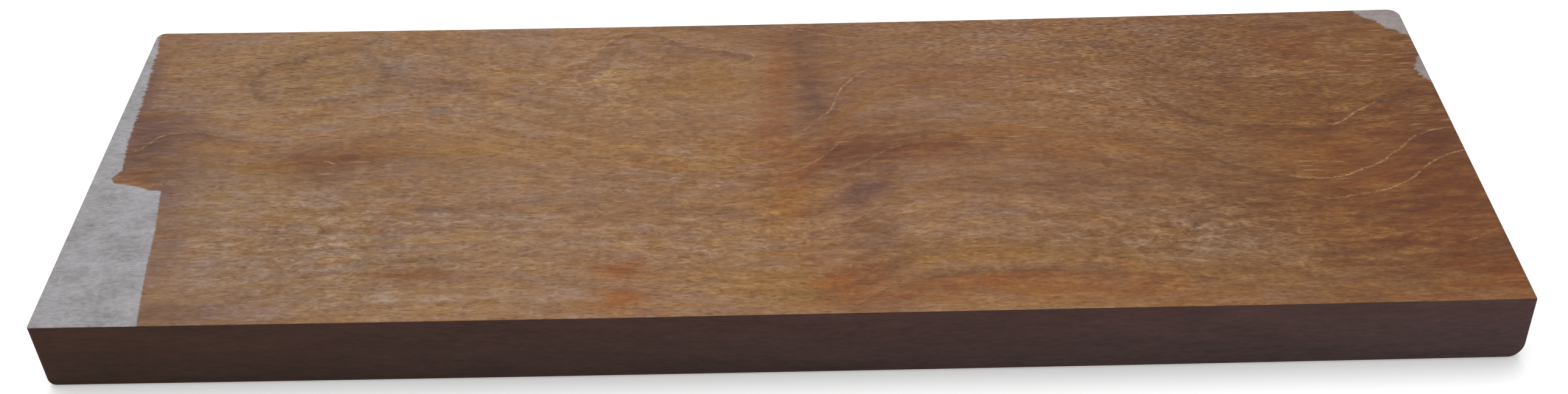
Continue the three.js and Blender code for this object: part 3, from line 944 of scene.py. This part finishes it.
# %% The dry places and their ragged edge
DRY_DARK, DRY_LIGHT, RIM_TINT = "#797474", "#afadb1", (0.72, 0.62, 0.7)
dry_here = add(STORED, output="Fac", attribute_name="dry")
teeth = stretched(in_mm, 9, 0.8, detail=3, roughness=0.7, shift=50)
tooth_reach = add(RANGE, {"Value": y_mm, "From Min": -16.0, "From Max": 30.0, "To Min": 1.2, "To Max": 5.5})
dry_edge = weighted_sum(dry_here, (teeth, tooth_reach))
dryness = add(RANGE, {"Value": dry_edge, "From Min": -0.3, "From Max": 0.3})
rim = add(RANGE, {"Value": dry_here, "From Min": -5.0, "From Max": 0.0, "To Max": 0.35})
rimmed = add(VECTOR, {0: oiled, 1: RIM_TINT}, operation="MULTIPLY")
oiled = add(MIX, {FACTOR: rim, COLOUR_A: oiled, COLOUR_B: rimmed}, **COLOURS)

dry_cloud = stretched(in_mm, 16, 9, detail=3, shift=60)
dry_grain = stretched(in_mm, 2.6, 1.8, detail=3, roughness=0.7, distortion=0.5, shift=64)
dry_light = weighted_sum(0.5, (dry_cloud, 0.9), (dry_grain, 1.1), (fibres, 0.2), (hairs, 0.5))
dry_wood = add(MIX, {FACTOR: dry_light, COLOUR_A: linear(DRY_DARK), COLOUR_B: linear(DRY_LIGHT)}, **COLOURS)
dry_share = add(RANGE, {"Value": x_mm, "From Min": 200.0, "From Max": 240.0, "To Min": 1.0, "To Max": 0.72})
dryness = add(MATH, {0: dryness, 1: dry_share}, operation="MULTIPLY")
top_wood = add(MIX, {FACTOR: dryness, COLOUR_A: oiled, COLOUR_B: dry_wood}, **COLOURS)

# %% [markdown]
# ## Sawn edges and end grain
# The long edges and the ends come straight from the saw. Their dark colour is painted shade, for the front
# edge that stands in shade: more brown at the left, more purple at the right, and greyer towards the
# underside, which is painted shade where the edge meets the floor. On the ends the pores are cut across, so
# they show as dots, and the blade left fine ridges. The underside is planed but was never oiled.

# %% The other cuts of the wood
# Painted shade: the sawn faces are coloured far darker than the wood, for the front edge that stands in
# shade.
SHADED_EDGE_LEFT, SHADED_EDGE_RIGHT, UNDERSIDE = "#3a2217", "#483230", "#7b5a45"
# Painted shade near the floor: this tint greys the sawn faces towards the underside.
FLOOR_SHADE_TINT = (0.8, 1.0, 1.06)
facing_here = add(STORED, output="Vector", attribute_name="facing")
up, endways = (add(SPLIT, {0: facing_here}, output=axis) for axis in "ZX")
along_edge = add(RANGE, {"Value": x_mm, "From Min": -254.0, "From Max": 254.0})
shaded_edge_ends = {COLOUR_A: linear(SHADED_EDGE_LEFT), COLOUR_B: linear(SHADED_EDGE_RIGHT)}
shaded_edge_base = add(MIX, {FACTOR: along_edge, **shaded_edge_ends}, **COLOURS)
# Painted shade where the edge meets the floor: towards the underside the sawn faces lose red and turn
# greyer.
off_floor = add(RANGE, {"Value": z_mm, "From Min": 0.0, "From Max": 22.0})
floor_shaded_edge = add(VECTOR, {0: shaded_edge_base, 1: FLOOR_SHADE_TINT}, operation="MULTIPLY")
shaded_edge_base = add(MIX, {FACTOR: off_floor, COLOUR_A: floor_shaded_edge, COLOUR_B: shaded_edge_base}, **COLOURS)
edge_light = weighted_sum(1.0, (layers_wide, 0.5), (streaks, 0.6), (fibres, 0.7), (hairs, 0.3))
saw_lines = stretched(in_mm, 1.1, 60, detail=2, shift=70)
end_place = add(MAPPING, {"Vector": in_mm, "Scale": (0.01, 0.9, 0.02)})
end_lines = add(NOISE, {"Vector": end_place, "Scale": 1.0})
dot_place = add(MAPPING, {"Vector": in_mm, "Scale": (0.02, 1.1, 1.1)})
dot_distance = add(CELLS, {"Vector": dot_place, "Scale": 1.0}, output="Distance")
dots = add(RANGE, {"Value": dot_distance, "From Min": 0.3, "From Max": 0.16})
is_end = add(MATH, {0: endways}, operation="ABSOLUTE")
is_end = add(RANGE, {"Value": is_end, "From Min": 0.5, "From Max": 0.9})
end_dots = add(MATH, {0: dots, 1: is_end}, operation="MULTIPLY")
edge_light = add(MATH, {0: end_dots, 1: -0.4, 2: edge_light}, operation="MULTIPLY_ADD")
shaded_edge_wood = add(VECTOR, {0: shaded_edge_base, "Scale": edge_light}, operation="SCALE")
under_wood = add(VECTOR, {0: linear(UNDERSIDE)[:3], "Scale": edge_light}, operation="SCALE")
is_under = add(RANGE, {"Value": up, "From Min": -0.7, "From Max": -0.95})
is_top = add(RANGE, {"Value": up, "From Min": 0.35, "From Max": 0.8})
colour = add(MIX, {FACTOR: is_under, COLOUR_A: shaded_edge_wood, COLOUR_B: under_wood}, **COLOURS)
colour = add(MIX, {FACTOR: is_top, COLOUR_A: colour, COLOUR_B: top_wood}, **COLOURS)

# %% Oil that ran over the arris in the middle of the board dried to a thin dark line
is_sawn = add(MATH, {0: 1.0, 1: is_top}, operation="SUBTRACT")
arris = add(MATH, {0: is_top, 1: is_sawn}, operation="MULTIPLY")
RUN_MIDDLE, RUN_FULL, RUN_END = 55.0, 60.0, 95.0  # mm along the board
RUN_COLOUR = "#3c1a12"
off_run = add(MATH, {0: x_mm, 1: RUN_MIDDLE}, operation="SUBTRACT")
off_run = add(MATH, {0: off_run}, operation="ABSOLUTE")
run = add(RANGE, {"Value": off_run, "From Min": RUN_END, "From Max": RUN_FULL, "To Max": 4.0})
run = add(MATH, {0: arris, 1: run}, operation="MULTIPLY", use_clamp=True)
colour = add(MIX, {FACTOR: run, COLOUR_A: colour, COLOUR_B: linear(RUN_COLOUR)}, **COLOURS)

# %% Roughness, relief and the shader
roughness = add(RANGE, {"Value": dryness, "To Min": 0.5, "To Max": 0.85})
roughness = add(MIX, {0: is_top, 2: 0.85, 3: roughness}, data_type="FLOAT")
relief = weighted_sum(0.0, (fibres, 0.5), (hairs, 0.3), (mottle, 0.5))
relief = add(MATH, {0: pores, 1: -0.8, 2: relief}, operation="MULTIPLY_ADD")
sawn = add(MATH, {0: saw_lines, 1: end_lines})
relief = add(MATH, {0: sawn, 1: is_sawn, 2: relief}, operation="MULTIPLY_ADD")
bump = add("ShaderNodeBump", {"Height": relief, "Strength": 0.6, "Distance": 0.0001})
shader = add("ShaderNodeBsdfPrincipled", {
    "Base Color": colour, "Roughness": roughness, "Normal": bump, "IOR": 1.5, "Specular IOR Level": 0.25})
wood_output = tree.nodes.new("ShaderNodeOutputMaterial")
tree.links.new(shader, wood_output.inputs["Surface"])
mesh.materials.append(wood)
print("nodes in the wood:", len(tree.nodes))

# %% The skin stands for the CAD solid
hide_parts("billet")
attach(board, "root")

# %% [markdown]
# ## Floor, light and camera
# A plain pale floor and one broad, soft light from above and behind, so that the front edge is in shade.
# The floor is paper on a light table: it glows a little, which keeps it white where the board shades it.

# %% The floor
FLOOR_HALF = 6.0
FLOOR_DROP = 0.0001
PAPER, PAPER_GLOW = "#f8f8f8", 0.3
floor_mesh = bpy.data.meshes.new("floor")
around = ((-1, -1), (1, -1), (1, 1), (-1, 1))
corners = [(sx * FLOOR_HALF, sy * FLOOR_HALF, -FLOOR_DROP) for sx, sy in around]
floor_mesh.from_pydata(corners, [], [(0, 1, 2, 3)])
floor = bpy.data.objects.new("floor", floor_mesh)
bpy.context.scene.collection.objects.link(floor)
paper = bpy.data.materials.new("matt_white_paper")
paper.use_nodes = True
paper_shader = paper.node_tree.nodes["Principled BSDF"]
paper_shader.inputs["Base Color"].default_value = linear(PAPER)
paper_shader.inputs["Roughness"].default_value = 0.9
paper_shader.inputs["Specular IOR Level"].default_value = 0.1
paper_shader.inputs["Emission Color"].default_value = (1, 1, 1, 1)
paper_shader.inputs["Emission Strength"].default_value = PAPER_GLOW
floor_mesh.materials.append(paper)

# %% The light
SKY_STRENGTH = 0.55
world = bpy.data.worlds.new("studio")
world.use_nodes = True
sky = world.node_tree.nodes["Background"]
sky.inputs["Color"].default_value = (1, 1, 1, 1)
sky.inputs["Strength"].default_value = SKY_STRENGTH
bpy.context.scene.world = world

SOFTBOX_STRENGTH = 1.75
SOFTBOX_BACK, SOFTBOX_ASIDE = -22, -5  # degrees that the light leans behind the board and to its side
SOFTBOX_WIDTH = 50  # degrees that the softbox fills, seen from the board
softbox = bpy.data.lights.new("softbox", "SUN")
softbox.energy = SOFTBOX_STRENGTH
softbox.angle = math.radians(SOFTBOX_WIDTH)
softbox_object = bpy.data.objects.new("softbox", softbox)
lean = Matrix.Rotation(math.radians(SOFTBOX_BACK), 4, "X")
softbox_object.matrix_world = lean @ Matrix.Rotation(math.radians(SOFTBOX_ASIDE), 4, "Y")
bpy.context.scene.collection.objects.link(softbox_object)

# %% The camera
PICTURE_WIDTH = 2576
FOCAL_PIXELS = 3074.85
CAMERA_AT = (3.2, -554.8, 450.3)
PITCH_DOWN, YAW, ROLL = 38.674, 0.175, -1.231
camera = bpy.data.cameras.new("camera")
camera.sensor_width = 36.0
camera.lens = camera.sensor_width * FOCAL_PIXELS / PICTURE_WIDTH
camera_object = bpy.data.objects.new("camera", camera)
turn = (
    Matrix.Rotation(math.radians(YAW), 4, "Z")
    @ Matrix.Rotation(math.radians(90 - PITCH_DOWN), 4, "X")
    @ Matrix.Rotation(math.radians(ROLL), 4, "Z")
)
camera_object.matrix_world = Matrix.Translation(Vector((np.array(CAMERA_AT) + to_frame) * MM)) @ turn
bpy.context.scene.collection.objects.link(camera_object)
bpy.context.scene.camera = camera_object
bpy.context.scene.view_settings.view_transform = "Standard"
